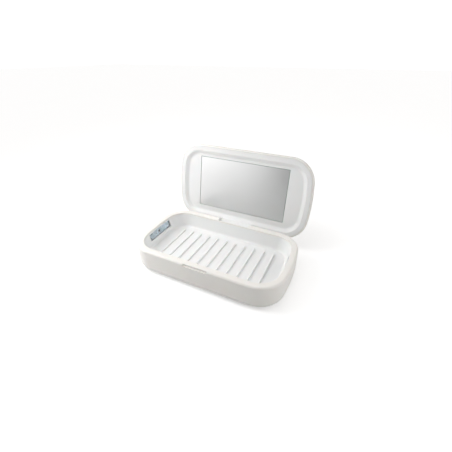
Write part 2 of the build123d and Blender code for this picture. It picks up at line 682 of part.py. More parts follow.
liner_floor = recess_depth + liner_t
with BuildPart() as lid_liner:
    with BuildSketch(lid_plane(0.0)):
        add(plan_face(lid_wall + liner_gap))
    extrude(amount=liner_floor)
    with BuildSketch(lid_plane(liner_t)):
        add(plan_face(lid_wall + liner_gap + liner_rib))
        add(plan_face(rim_inset - liner_rib), mode=Mode.SUBTRACT)
    extrude(amount=liner_floor, mode=Mode.SUBTRACT)
    with BuildSketch(lid_plane(liner_floor - eps)):
        with Locations((0, mirror_y)):
            RectangleRounded(mirror_l + 2 * pan_wall, mirror_w + 2 * pan_wall, 2.0)
    extrude(amount=pan_back - liner_floor + eps)
    add(recess_tool.part, mode=Mode.SUBTRACT)
    with BuildSketch(lid_plane(0.0)):
        with Locations((0, mirror_y)):
            RectangleRounded(mirror_l + 2 * mirror_gap, mirror_w + 2 * mirror_gap, mirror_corner)
    extrude(amount=recess_depth + mirror_sunk + mirror_t, mode=Mode.SUBTRACT)
    with BuildSketch(lid_plane(0.0)):
        with Locations((0, mirror_y)):
            Rectangle(mirror_l - 2 * pad_margin + 1, mirror_w - 2 * pad_margin + 1)
    extrude(amount=pan_back - pan_floor, mode=Mode.SUBTRACT)
    with BuildSketch(lid_plane(pan_back - pan_floor)):
        with Locations(*lid_screw_spots):
            Circle(screw_r + 0.2)
    extrude(amount=pan_floor, mode=Mode.SUBTRACT)
    # hinge lug: it fills the well below the rim and turns about the pins
    with BuildSketch(hinge_plane(-lug_half, True)):
        heel = width / 2 - hinge_y
        top = rim_plane_dz
        turn_y = -sqrt(lug_heel_r**2 - heel**2)
        with BuildLine():
            Line((-lug_r, top + 0.6), (-lug_r, 0))
            ThreePointArc((-lug_r, 0), (-lug_r * cos(radians(45)), -lug_r * sin(radians(45))),
                          (0, -lug_r))
            Line((0, -lug_r), (0, -lug_heel_r))
            ThreePointArc((0, -lug_heel_r), (lug_heel_r * sin(radians(25)),
                          -lug_heel_r * cos(radians(25))), (heel, turn_y))
            Line((heel, turn_y), (heel, top - 0.4))
            Line((heel, top - 0.4), (heel - lid_wall - 0.3, top - 0.4))
            Line((heel - lid_wall - 0.3, top - 0.4), (heel - lid_wall - 0.3, top + 0.6))
            Line((heel - lid_wall - 0.3, top + 0.6), (-lug_r, top + 0.6))
        make_face()
    extrude(amount=2 * lug_half)
    for side in (-1, 1):
        with BuildSketch(hinge_plane(side * lug_half, True)):
            Circle(pin_r + pin_run)
        extrude(amount=-side * (pin_in + 0.5), mode=Mode.SUBTRACT)
lid_liner.part.label = "lid_liner"

with BuildPart() as mirror:
    with BuildSketch(lid_plane(recess_depth + mirror_sunk)):
        with Locations((0, mirror_y)):
            RectangleRounded(mirror_l, mirror_w, mirror_corner)
    extrude(amount=mirror_t)
mirror.part.label = "mirror"

with BuildPart() as mirror_pad:
    with BuildSketch(lid_plane(recess_depth + mirror_sunk + mirror_t)):
        with Locations((0, mirror_y)):
            Rectangle(mirror_l - 2 * pad_margin, mirror_w - 2 * pad_margin)
            with Locations(*[(x, y - mirror_y) for x, y in lid_screw_spots]):
                Circle(screw_head_r + 0.6, mode=Mode.SUBTRACT)
    extrude(amount=pad_t)
mirror_pad.part.label = "mirror_pad"

lid_screw = screw_body(pan_floor + shell_boss_h, 0.6)
with BuildPart() as lid_screws:
    for x, y in lid_screw_spots:
        spot = lid_plane(pan_back - pan_floor, x, y)
        with Locations(Location(spot)):
            add(lid_screw)
lid_screws.part.label = "lid_screws"

with BuildPart() as lid_magnets:
    with BuildSketch(lid_plane(liner_t)):
        with Locations((-magnet_x, magnet_y), (magnet_x, magnet_y)):
            Rectangle(magnet_l, magnet_w)
    extrude(amount=magnet_t)
lid_magnets.part.label = "lid_magnets"

with BuildPart() as sensor_magnet:
    with BuildSketch(lid_plane(liner_t)):
        with Locations((sensor_x, sensor_y)):
            Circle(1.5)
    extrude(amount=2.0)
sensor_magnet.part.label = "sensor_magnet"

with BuildPart() as hinge_pins:
    for side in (-1, 1):
        with BuildSketch(hinge_plane(side * (lug_half - pin_in), False)):
            Circle(pin_r)
        extrude(amount=side * (lug_gap + ear_t - 1.0 + pin_in))
hinge_pins.part.label = "hinge_pins"

# ================================================================ files
everything = [
    base_shell, tray, bottom_cover, feet, cover_screws, tray_screws,
    *lamp_parts["left"], *lamp_parts["right"],
    main_board, board_screws, controller_chip, power_coil, capacitors, wire_plugs,
    usb_shell, usb_tongue, tact_switch, switch_stem, power_button, status_led, light_pipe,
    left_wires, right_wires, lid_sensor, sensor_wire, base_magnets, hinge_pins,
    lid_shell, lid_liner, mirror, mirror_pad, lid_screws, lid_magnets, sensor_magnet,
]
for piece in everything:
    export_step(piece.part, f"parts/{piece.part.label}.step")
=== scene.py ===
"""Looks of a flat ultraviolet sterilizer box with a mirrored flip-up lid, in metres.

The box stands on z = 0 with its front towards -Y. The lid is authored closed, as it
is moulded, and turned open about the hinge. Every piece keeps its place in its mesh.
"""
import json
import logging
from dataclasses import dataclass, field
from enum import Enum
from math import cos, radians, sin

import bpy
import numpy as np
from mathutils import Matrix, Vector


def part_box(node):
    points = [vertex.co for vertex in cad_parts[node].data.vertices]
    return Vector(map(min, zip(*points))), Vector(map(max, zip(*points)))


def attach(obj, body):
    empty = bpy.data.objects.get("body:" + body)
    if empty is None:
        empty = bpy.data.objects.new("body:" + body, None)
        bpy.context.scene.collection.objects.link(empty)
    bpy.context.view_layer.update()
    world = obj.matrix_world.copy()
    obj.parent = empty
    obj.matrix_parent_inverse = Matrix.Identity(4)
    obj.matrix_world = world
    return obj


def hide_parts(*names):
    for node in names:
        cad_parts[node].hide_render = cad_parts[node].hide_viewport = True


LOG = logging.getLogger("sterilizer_box")
MM = 0.001
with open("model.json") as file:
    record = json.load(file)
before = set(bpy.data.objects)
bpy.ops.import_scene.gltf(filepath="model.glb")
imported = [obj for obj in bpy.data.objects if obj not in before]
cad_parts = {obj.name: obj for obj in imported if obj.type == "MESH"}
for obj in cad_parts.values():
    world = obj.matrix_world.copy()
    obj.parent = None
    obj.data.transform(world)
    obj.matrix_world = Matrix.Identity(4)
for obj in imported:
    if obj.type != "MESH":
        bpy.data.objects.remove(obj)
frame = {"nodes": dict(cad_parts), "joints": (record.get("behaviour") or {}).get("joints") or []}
Array = np.ndarray


def resample(loop: Array, count: int) -> Array:
    """Spaces a closed loop evenly by length along its sides.

    Args:
        loop: Corner points of the closed loop, one row each.
        count: Number of points wanted.

    Returns:
        The evenly spaced points.
    """
    closed = np.vstack([loop, loop[:1]])
    run = np.concatenate([[0.0], np.cumsum(np.linalg.norm(np.diff(closed, axis=0), axis=1))])
    at = np.linspace(0.0, run[-1], count, endpoint=False)
    return np.stack([np.interp(at, run, closed[:, i]) for i in range(closed.shape[1])], axis=1)


def rounded_loop(long: float, high: float, corner: float, arc: int = 8) -> Array:
    """Outline of a rounded rectangle: four quarter circles joined by straight sides.

    Args:
        long: Full size along the first axis.
        high: Full size along the second axis.
        corner: Corner radius.
        arc: Steps in each corner.

    Returns:
        Points in order, anticlockwise.
    """
    corner = max(corner, 1e-6)
    turn = np.linspace(0.0, np.pi / 2, arc + 1)
    quarter = np.arange(4)[:, None] * np.pi / 2
    angle = (quarter + turn[None, :]).ravel()
    mid = np.repeat(quarter.ravel() + np.pi / 4, arc + 1)
    x = np.sign(np.cos(mid)) * (long / 2 - corner) + corner * np.cos(angle)
    y = np.sign(np.sin(mid)) * (high / 2 - corner) + corner * np.sin(angle)
    return np.stack([x, y], axis=1)


def plate_rings(long: float, high: float, corner: float, profile: list[tuple[float, float]],
                count: int = 0) -> Array:
    """Carries an edge profile round a rounded rectangle.

    Each step of the profile is (how far in from the outline, height), and the ring at
    that step is the outline shrunk by the first and lifted by the second.

    Args:
        long: Outline size along the first axis.
        high: Outline size along the second axis.
        corner: Outline corner radius.
        profile: Steps of the edge, from one face to the other.
        count: Points round the ring, or 0 for the outline's own corners.

    Returns:
        Rings as an array of ring, point, axis.
    """
    rings = []
    for inset, height in profile:
        loop = rounded_loop(long - 2 * inset, high - 2 * inset, corner - inset)
        loop = resample(loop, count) if count else loop
        rings.append(np.column_stack([loop, np.full(len(loop), height)]))
    return np.array(rings)


def lathe_rings(profile: list[tuple[float, float]], around: int = 48) -> Array:
    """Turns a profile about the local Z axis: (r cos t, r sin t, z) for t round the circle.

    Args:
        profile: Steps of (radius, height), from one end to the other.
        around: Points round each ring.

    Returns:
        Rings as an array of ring, point, axis.
    """
    turn = np.linspace(0.0, 2 * np.pi, around, endpoint=False)
    steps = np.array(profile, float)
    x = steps[:, :1] * np.cos(turn)
    y = steps[:, :1] * np.sin(turn)
    z = np.repeat(steps[:, 1:2], around, axis=1)
    return np.stack([x, y, z], axis=2)


def ring_faces(rings: Array, cap_first: bool, cap_last: bool) -> tuple[Array, list[list[int]]]:
    """Joins rings with quads and closes the ends with a fan to one middle point.

    Args:
        rings: Array of ring, point, axis.
        cap_first: Close the first ring.
        cap_last: Close the last ring.

    Returns:
        Points, and faces as index lists.
    """
    steps, around, _ = rings.shape
    points = rings.reshape(-1, 3)
    base = np.arange(steps - 1)[:, None] * around
    near = np.arange(around)[None, :]
    far = (near + 1) % around
    quads = np.stack([base + near, base + far, base + around + far, base + around + near],
                     axis=2).reshape(-1, 4)
    faces = quads.tolist()
    flat = np.arange(around)
    nxt = (flat + 1) % around
    if cap_first:
        points = np.vstack([points, rings[0].mean(axis=0)])
        top = np.full(around, len(points) - 1)
        faces += np.stack([nxt, flat, top], axis=1).tolist()
    if cap_last:
        start = (steps - 1) * around
        points = np.vstack([points, rings[-1].mean(axis=0)])
        top = np.full(around, len(points) - 1)
        faces += np.stack([start + flat, start + nxt, top], axis=1).tolist()
    return points, faces


def facing_out(points: Array, faces: list[list[int]]) -> list[list[int]]:
    """Turns every face over if the closed mesh has a negative volume.

    The volume is the sum over triangles of a . (b x c) / 6.

    Args:
        points: Mesh points.
        faces: Index lists.

    Returns:
        The faces, pointing outwards.
    """
    tris = np.array([(f[0], f[i], f[i + 1]) for f in faces for i in range(1, len(f) - 1)])
    a, b, c = (points[tris[:, i]] for i in range(3))
    volume = float(np.einsum("ij,ij->i", a - points.mean(axis=0),
                             np.cross(b - points.mean(axis=0), c - points.mean(axis=0))).sum())
    return faces if volume >= 0 else [f[::-1] for f in faces]


@dataclass(frozen=True)
class Seat:
    """Where a locally drawn shape sits: an origin and three directions."""

    origin: tuple[float, float, float]
    along: tuple[float, float, float] = (1.0, 0.0, 0.0)
    up: tuple[float, float, float] = (0.0, 1.0, 0.0)
    out: tuple[float, float, float] = (0.0, 0.0, 1.0)

    def place(self, points: Array) -> Array:
        """Local points as points of the box: origin + x along + y up + z out."""
        return np.array(self.origin) + points @ np.array([self.along, self.up, self.out])


def build_mesh(name: str, parts: list[tuple[Array, list[list[int]]]], sharp_deg: float = 32.0,
               part_finish: list[int] | None = None) -> bpy.types.Object:
    """Makes one object from closed shells, smooth except at edges sharper than an angle.

    Args:
        name: Object name.
        parts: Points and faces of each shell.
        sharp_deg: Edges that bend by more than this stay crisp.
        part_finish: Material slot of each shell.

    Returns:
        The new object, at the origin.
    """
    points, faces, slots, start = [], [], [], 0
    for index, (pts, fcs) in enumerate(parts):
        points.append(pts)
        faces += [[i + start for i in f] for f in facing_out(pts, fcs)]
        slots += [part_finish[index] if part_finish else 0] * len(fcs)
        start += len(pts)
    mesh = bpy.data.meshes.new(name)
    mesh.from_pydata(np.vstack(points).tolist(), [], faces)
    mesh.polygons.foreach_set("use_smooth", np.ones(len(faces), bool))
    mesh.polygons.foreach_set("material_index", np.array(slots, np.int32))
    mesh.set_sharp_from_angle(angle=radians(sharp_deg))
    mesh.update()
    obj = bpy.data.objects.new(name, mesh)
    bpy.context.scene.collection.objects.link(obj)
    return obj


# ------------------------------------------------------------------ finishes
def linear(code: str) -> tuple[float, float, float, float]:
    """Turns an sRGB hex colour into the linear colour the shaders use.

    Args:
        code: Six hex digits.

    Returns:
        Linear red, green, blue and full alpha.
    """
    srgb = np.array([int(code[i:i + 2], 16) for i in (0, 2, 4)]) / 255.0
    lin = np.where(srgb <= 0.04045, srgb / 12.92, ((srgb + 0.055) / 1.055) ** 2.4)
    return (*[float(v) for v in lin], 1.0)


def add_node(tree: bpy.types.NodeTree, kind: str, settings: dict | None = None,
             links: dict | None = None) -> bpy.types.Node:
    """Adds one shader node with its settings and its links.

    Args:
        tree: Node tree to add to.
        kind: Blender's name of the node type.
        settings: Values by input name or number, or by attribute after a dot.
        links: Output sockets by input name or number.

    Returns:
        The new node.
    """
    node = tree.nodes.new(kind)
    for key, value in (settings or {}).items():
        if isinstance(key, str) and key.startswith("."):
            setattr(node, key[1:], value)
        else:
            node.inputs[key].default_value = value
    for key, socket in (links or {}).items():
        tree.links.new(socket, node.inputs[key])
    return node


# Direction and range of the painted reflection across the silvered film: a colour grade from pale to
# grey, in the object's own frame.
PAINTED_REFLECTION_WAY = (4.2, 0.0, -2.6)
PAINTED_REFLECTION_FROM, PAINTED_REFLECTION_TO = -0.80, 0.28


class Surface(Enum):
    """How a surface was made, which decides its fine pattern."""

    MOULDED = "moulded"
    ERODED = "spark eroded"
    BRUSHED = "brushed"
    PLATED = "plated"
    EMBOSSED = "embossed"
    # Silvered mirror film, whose colour carries a painted reflection grade.
    SILVERED_PAINTED_REFLECTION = "silvered"
    CLEAR = "clear"
    CELLULAR = "cellular"
    MASKED = "solder masked"


@dataclass(frozen=True)
class Finish:
    """One real material and process, with its colours, gloss and fine pattern.

    Sizes are in millimetres, the height of the grain in microns.
    """

    name: str
    surface: Surface
    colour: str
    # Second colour; on the silvered mirror it is the grey end of the painted reflection.
    drift: str
    rough: tuple[float, float]
    grain_mm: float
    grain_um: float
    drift_mm: float = 18.0
    metallic: float = 0.0
    ior: float = 1.5
    clear: float = 0.0
    wax: float = 0.0
    stretch: tuple[float, float, float] = (1.0, 1.0, 1.0)

    def build(self) -> bpy.types.Material:
        """Makes the material, or returns it if another piece already uses it.

        Returns:
            The material.
        """
        found = bpy.data.materials.get(self.name)
        if found is not None:
            return found
        material = bpy.data.materials.new(self.name)
        material.use_nodes = True
        tree = material.node_tree
        tree.nodes.clear()
        place = add_node(tree, "ShaderNodeTexCoord").outputs["Object"]
        place = add_node(tree, "ShaderNodeMapping", {"Scale": self.stretch},
                         {"Vector": place}).outputs["Vector"]
        slow = add_node(tree, "ShaderNodeTexNoise",
                        {"Scale": 1 / (self.drift_mm * MM), "Detail": 3.0, "Roughness": 0.55},
                        {"Vector": place}).outputs["Fac"]
        fine = self.grain(tree, place)
        colour = add_node(tree, "ShaderNodeMix",
                          {".data_type": "RGBA", 6: linear(self.colour), 7: linear(self.drift)},
                          {0: self.shade_pattern(tree, place, slow, fine)}).outputs[2]
        gloss = add_node(tree, "ShaderNodeMath", {".operation": "MULTIPLY_ADD", 1: 0.35},
                         {0: fine, 2: slow}).outputs[0]
        gloss = add_node(tree, "ShaderNodeMapRange",
                         {"From Min": 0.35, "From Max": 1.0, "To Min": self.rough[0],
                          "To Max": self.rough[1]}, {"Value": gloss}).outputs[0]
        bump = add_node(tree, "ShaderNodeBump",
                        {"Strength": 0.6, "Distance": self.grain_um * 1e-6},
                        {"Height": fine}).outputs["Normal"]
        settings = {"Metallic": self.metallic, "Transmission Weight": self.clear}
        if not self.metallic:
            settings["IOR"] = self.ior
        if self.wax:
            settings.update({"Subsurface Weight": self.wax, "Subsurface Scale": 0.0015})
        shader = add_node(tree, "ShaderNodeBsdfPrincipled", settings,
                          {"Base Color": colour, "Roughness": gloss, "Normal": bump})
        add_node(tree, "ShaderNodeOutputMaterial", {}, {"Surface": shader.outputs[0]})
        return material

    def grain(self, tree: bpy.types.NodeTree, place: bpy.types.NodeSocket
              ) -> bpy.types.NodeSocket:
        """Adds the fine height pattern that the making process leaves.

        Args:
            tree: Material node tree.
            place: Coordinates in metres.

        Returns:
            A value from 0 to 1.
        """
        scale = 1 / (self.grain_mm * MM)
        if self.surface in (Surface.EMBOSSED, Surface.CELLULAR):
            cells = add_node(tree, "ShaderNodeTexVoronoi",
                             {".feature": "SMOOTH_F1", "Scale": scale, "Smoothness": 0.6},
                             {"Vector": place}).outputs["Distance"]
            return cells
        if self.surface is Surface.ERODED:
            cells = add_node(tree, "ShaderNodeTexVoronoi", {"Scale": scale},
                             {"Vector": place}).outputs["Distance"]
            dust = add_node(tree, "ShaderNodeTexNoise", {"Scale": scale * 2.3, "Detail": 2.0},
                            {"Vector": place}).outputs["Fac"]
            return add_node(tree, "ShaderNodeMath", {".operation": "MULTIPLY"},
                            {0: cells, 1: dust}).outputs[0]
        if self.surface is Surface.BRUSHED:
            lines = add_node(tree, "ShaderNodeMapping", {"Scale": (1.0, 0.04, 1.0)},
                             {"Vector": place}).outputs["Vector"]
            return add_node(tree, "ShaderNodeTexNoise", {"Scale": scale, "Detail": 4.0},
                            {"Vector": lines}).outputs["Fac"]
        return add_node(tree, "ShaderNodeTexNoise",
                        {"Scale": scale, "Detail": 3.0, "Roughness": 0.5},
                        {"Vector": place}).outputs["Fac"]

    def shade_pattern(self, tree: bpy.types.NodeTree, place: bpy.types.NodeSocket,
                      slow: bpy.types.NodeSocket, fine: bpy.types.NodeSocket
                      ) -> bpy.types.NodeSocket:
        """Adds the pattern that moves the colour between its two shades; on the silvered mirror it is
        a painted reflection, a fixed grade from pale to grey.

        Args:
            tree: Material node tree.
            place: Coordinates in metres.
            slow: Slow drift over the piece.
            fine: Fine grain.

        Returns:
            A value from 0 to 1.
        """
        if self.surface is Surface.MASKED:
            tracks = add_node(tree, "ShaderNodeTexBrick",
                              {"Scale": 1 / (4.0 * MM), "Mortar Size": 0.035,
                               "Color1": (0, 0, 0, 1), "Color2": (0.12, 0.12, 0.12, 1),
                               "Mortar": (1, 1, 1, 1)}, {"Vector": place}).outputs["Color"]
            return tracks
        if self.surface is Surface.SILVERED_PAINTED_REFLECTION:
            # Painted reflection: the film's colour goes from pale to grey along a fixed direction.
            way = add_node(tree, "ShaderNodeVectorMath",
                           {".operation": "DOT_PRODUCT", 1: PAINTED_REFLECTION_WAY},
                           {0: place}).outputs["Value"]
            return add_node(tree, "ShaderNodeMapRange",
                            {"From Min": PAINTED_REFLECTION_FROM, "From Max": PAINTED_REFLECTION_TO}, {"Value": way}).outputs[0]
        if self.surface in (Surface.ERODED, Surface.CELLULAR, Surface.EMBOSSED):
            return add_node(tree, "ShaderNodeMath", {".operation": "MULTIPLY_ADD", 1: 0.5},
                            {0: fine, 2: slow}).outputs[0]
        return slow


FINISHES = {
    # Gloss ABS from a polished tool: a soft sheen with the faint orange peel of the
    # moulding, drawn at 1.6 mm so that it shows.
    "case": Finish("ABS_moulded_gloss_white", Surface.MOULDED, "ECEAE6", "E7E5E0",
                   (0.29, 0.34), 1.6, 5.0, 30.0, wax=0.06),
    # Satin ABS from a vapour-blasted tool: a wider, quieter sheen than the case.
    "tray": Finish("ABS_moulded_satin_white", Surface.MOULDED, "ECECEB", "E6E7E7",
                   (0.36, 0.48), 0.9, 10.0, 24.0, wax=0.06),
    # ABS cover from a spark-eroded tool: a fine leathery grain that kills the gloss.
    "cover": Finish("ABS_spark_eroded_white", Surface.ERODED, "EDECEA", "E3E2DF",
                    (0.5, 0.66), 0.55, 60.0, 20.0),
    # Silicone rubber: matt and slightly dusty in the hollows.
    "rubber": Finish("silicone_rubber_moulded_grey", Surface.ERODED, "6A6B6D", "5A5B5C",
                     (0.62, 0.8), 0.4, 50.0, 6.0, ior=1.43),
    # Zinc-plated steel: bluish bright metal with fine turned lines.
    "screw": Finish("steel_zinc_plated", Surface.BRUSHED, "C3C6CA", "A9ACB0",
                    (0.25, 0.42), 0.25, 12.0, 3.0, metallic=1.0),
    # Ground stainless pin: brighter, with lines along it.
    "pin": Finish("stainless_steel_ground", Surface.BRUSHED, "D0D1D2", "BDBEC0",
                  (0.16, 0.3), 0.3, 8.0, 4.0, metallic=1.0, stretch=(0.1, 1.0, 1.0)),
    # Quartz glass, flame polished: almost clear, with a faint cool tone.
    "quartz": Finish("quartz_glass_polished", Surface.CLEAR, "F4F9FC", "EEF5F9",
                     (0.02, 0.07), 5.0, 3.0, 25.0, ior=1.458, clear=1.0),
    # Aluminium reflector foil, stucco embossed: small bright facets, cool grey between.
    "foil": Finish("aluminium_foil_stucco_embossed", Surface.EMBOSSED, "E9EEF1", "CED5DA",
                   (0.22, 0.38), 1.5, 70.0, 5.0, metallic=1.0),
    # White solder mask on an aluminium lamp board.
    "lamp_board": Finish("solder_mask_white", Surface.MASKED, "E6E5DF", "D6D4CC",
                         (0.3, 0.42), 0.8, 12.0),
    # Green solder mask: tracks show as lighter lines under the lacquer.
    "board": Finish("solder_mask_green", Surface.MASKED, "0F5A34", "2A7B4E",
                    (0.25, 0.4), 0.8, 14.0),
    # Sintered aluminium nitride lamp body: mid grey, very fine matt grain.
    "ceramic": Finish("aluminium_nitride_sintered", Surface.MOULDED, "3C3F42", "303336",
                      (0.4, 0.55), 0.2, 8.0, 1.5, ior=1.77),
    # Gold flash over nickel on the plug contacts.
    "gold": Finish("gold_flash_plated", Surface.PLATED, "E3BE72", "D5AC5C",
                   (0.18, 0.3), 0.15, 6.0, 2.0, metallic=1.0),
    # Epoxy moulding compound: dark and dull, with a fine sandy face.
    "epoxy": Finish("epoxy_moulded_black", Surface.ERODED, "232325", "18181A",
                    (0.45, 0.62), 0.3, 30.0, 3.0, ior=1.55),
    # Pressed ferrite: dark grey, granular.
    "ferrite": Finish("ferrite_pressed", Surface.ERODED, "3A3B3D", "2B2C2E",
                      (0.5, 0.7), 0.25, 40.0, 2.0, ior=2.2),
    # Drawn aluminium can: bright with vertical lines.
    "can": Finish("aluminium_drawn", Surface.BRUSHED, "CDCFD2", "B9BBBF",
                  (0.2, 0.34), 0.25, 8.0, 3.0, metallic=1.0, stretch=(1.0, 1.0, 0.1)),
    # Unfilled nylon: slightly yellow, waxy.
    "nylon": Finish("nylon_moulded_ivory", Surface.MOULDED, "E9E3CF", "DFD8C1",
                    (0.35, 0.5), 0.5, 12.0, 4.0, ior=1.53, wax=0.2),
    # Nickel-plated steel sheet, rolled to shape: soft bright metal.
    "nickel": Finish("steel_nickel_plated", Surface.BRUSHED, "C9C7C2", "B4B2AE",
                     (0.2, 0.36), 0.4, 9.0, 5.0, metallic=1.0),
    # Button cap in grey ABS, satin, so that it reads apart from the case.
    "button": Finish("ABS_moulded_satin_grey", Surface.MOULDED, "D7D9DB", "CBCED1",
                     (0.34, 0.46), 0.5, 9.0, 4.0, wax=0.05),
    # Diffusing polycarbonate: milky, lets some light through.
    "diffuser": Finish("polycarbonate_diffusing", Surface.CLEAR, "F2F5F6", "E8EDEF",
                       (0.3, 0.42), 0.6, 5.0, 3.0, ior=1.585, clear=0.45),
    # PVC wire covering: smooth, faintly ribbed from extrusion.
    "red_wire": Finish("PVC_extruded_red", Surface.MOULDED, "B3221C", "9C1B16",
                       (0.35, 0.5), 0.4, 10.0, 4.0, ior=1.54),
    "black_wire": Finish("PVC_extruded_black", Surface.MOULDED, "232324", "1A1A1B",
                         (0.35, 0.5), 0.4, 10.0, 4.0, ior=1.54),
    # Nickel-plated magnet: bright, slightly warm, tumbled.
    "magnet": Finish("neodymium_nickel_plated", Surface.PLATED, "CFCBC4", "BEBAB3",
                     (0.14, 0.28), 0.5, 8.0, 4.0, metallic=1.0),
    # Silvered film on glass: the film scatters a little, so what it mirrors is soft. Its
    # colour grade, paler at the left and greyer at the right, is a painted reflection fixed in the
    # film.
    "mirror": Finish("glass_silvered_satin_film_painted_reflection", Surface.SILVERED_PAINTED_REFLECTION, "FDFDFD", "CCCECE",
                     (0.28, 0.33), 40.0, 0.01, 60.0, metallic=1.0),
    # Ground mirror edge: the green of the glass seen edge-on, satin.
    "mirror_edge": Finish("glass_edge_ground", Surface.ERODED, "9FB3AC", "86998F",
                          (0.3, 0.45), 0.3, 12.0, 4.0, ior=1.52),
    # Closed-cell foam tape: pin-hole cells, dull.
    "foam": Finish("foam_tape_closed_cell", Surface.CELLULAR, "D2D1CC", "BFBDB6",
                   (0.8, 0.95), 0.7, 120.0, 6.0),
}

NODE_FINISHES = {
    "base_shell": "case", "lid_shell": "case", "tray": "tray", "lid_liner": "tray",
    "bottom_cover": "cover", "tray_screws": "screw", "board_screws": "screw",
    "lid_screws": "screw", "hinge_pins": "pin", "left_led_board": "lamp_board",
    "right_led_board": "lamp_board", "main_board": "board", "controller_chips": "epoxy",
    "power_coil": "ferrite", "capacitors": "can", "wire_plugs": "nylon",
    "tact_switch": "epoxy", "switch_stem": "nylon", "status_led": "nylon",
    "left_wires": "red_wire", "right_wires": "red_wire", "sensor_wire": "black_wire",
    "lid_sensor": "epoxy", "base_magnets": "magnet", "lid_magnets": "magnet",
    "sensor_magnet": "magnet", "mirror_pad": "foam",
}


def dress_nodes() -> None:
    """Gives every carried-over solid the material of its real finish."""
    for node, finish in NODE_FINISHES.items():
        data = frame["nodes"][node].data
        material = FINISHES[finish].build()
        if not data.materials:
            data.materials.append(material)
        for index in range(len(data.materials)):
            data.materials[index] = material
        LOG.info("%s dressed as %s", node, material.name)


def finish_piece(obj: bpy.types.Object, finishes: list[str], body: str, slot: str,
                 *nodes: str) -> bpy.types.Object:
    """Dresses a new piece, sets what it rides on and hides the solids it stands for.

    Args:
        obj: The new piece.
        finishes: Names of its finishes, in slot order.
        body: Moving body it belongs to.
        slot: Material slot of the record; not used.
        nodes: Solids it stands for.

    Returns:
        The piece.
    """
    for finish in finishes:
        obj.data.materials.append(FINISHES[finish].build())
    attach(obj, body)
    if nodes:
        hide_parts(*nodes)
    LOG.info("%s: %d faces on %s", obj.name, len(obj.data.polygons), body)
    return obj


def node_centre(name: str) -> Array:
    """Middle of a solid's box."""
    low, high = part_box(name)
    return (np.array(low) + np.array(high)) / 2


# ------------------------------------------------------------------ sub-assemblies
@dataclass
class Lid:
    """The mirror in the lid, drawn with the lid closed and turned open about its hinge."""

    mirror_long: float = 144.0 * MM
    mirror_wide: float = 81.0 * MM
    mirror_thick: float = 1.5 * MM
    mirror_y: float = -2.2 * MM
    face_z: float = 40.2 * MM
    arris: float = 0.35 * MM
    corner: float = 1.0 * MM
    hinge: dict = field(default_factory=lambda: next(
        j for j in frame["joints"] if j["name"] == "lid_hinge"))

    def opened(self, points: Array) -> Array:
        """Turns closed-lid points open: a rotation about the hinge line by its full range.

        Args:
            points: Points with the lid closed.

        Returns:
            The same points with the lid open.
        """
        _, py, pz = self.hinge["pos_m"]
        angle = radians(self.hinge["range_deg"][1])
        dy, dz = points[:, 1] - py, points[:, 2] - pz
        return np.column_stack([points[:, 0], py + dy * cos(angle) + dz * sin(angle),
                                pz - dy * sin(angle) + dz * cos(angle)])

    def mirror(self) -> bpy.types.Object:
        """Silvered plate with a ground arris round both faces."""
        a, t = self.arris, self.mirror_thick
        face = plate_rings(self.mirror_long, self.mirror_wide, self.corner,
                           [(a * 1.02, 0.0), (a, 0.0)])
        edge = plate_rings(self.mirror_long, self.mirror_wide, self.corner,
                           [(a, 0.0), (a * 0.5, a * 0.4), (0.0, a), (0.0, t - a),
                            (a * 0.5, t - a * 0.4), (a, t)])
        shift = np.array([0.0, self.mirror_y, self.face_z])
        rings = np.concatenate([face[:1], edge]) + shift
        points, faces = ring_faces(rings, True, True)
        points = self.opened(points)
        obj = build_mesh("mirror_plate", [(points, faces)], 20.0)
        around = rings.shape[1]
        slots = np.ones(len(obj.data.polygons), np.int32)
        slots[(len(rings) - 1) * around:] = 0
        obj.data.polygons.foreach_set("material_index", slots)
        return finish_piece(obj, ["mirror", "mirror_edge"], "lid", "mirror_glass", "mirror")

    def build(self) -> None:
        """Builds the lid's own pieces."""
        self.mirror()


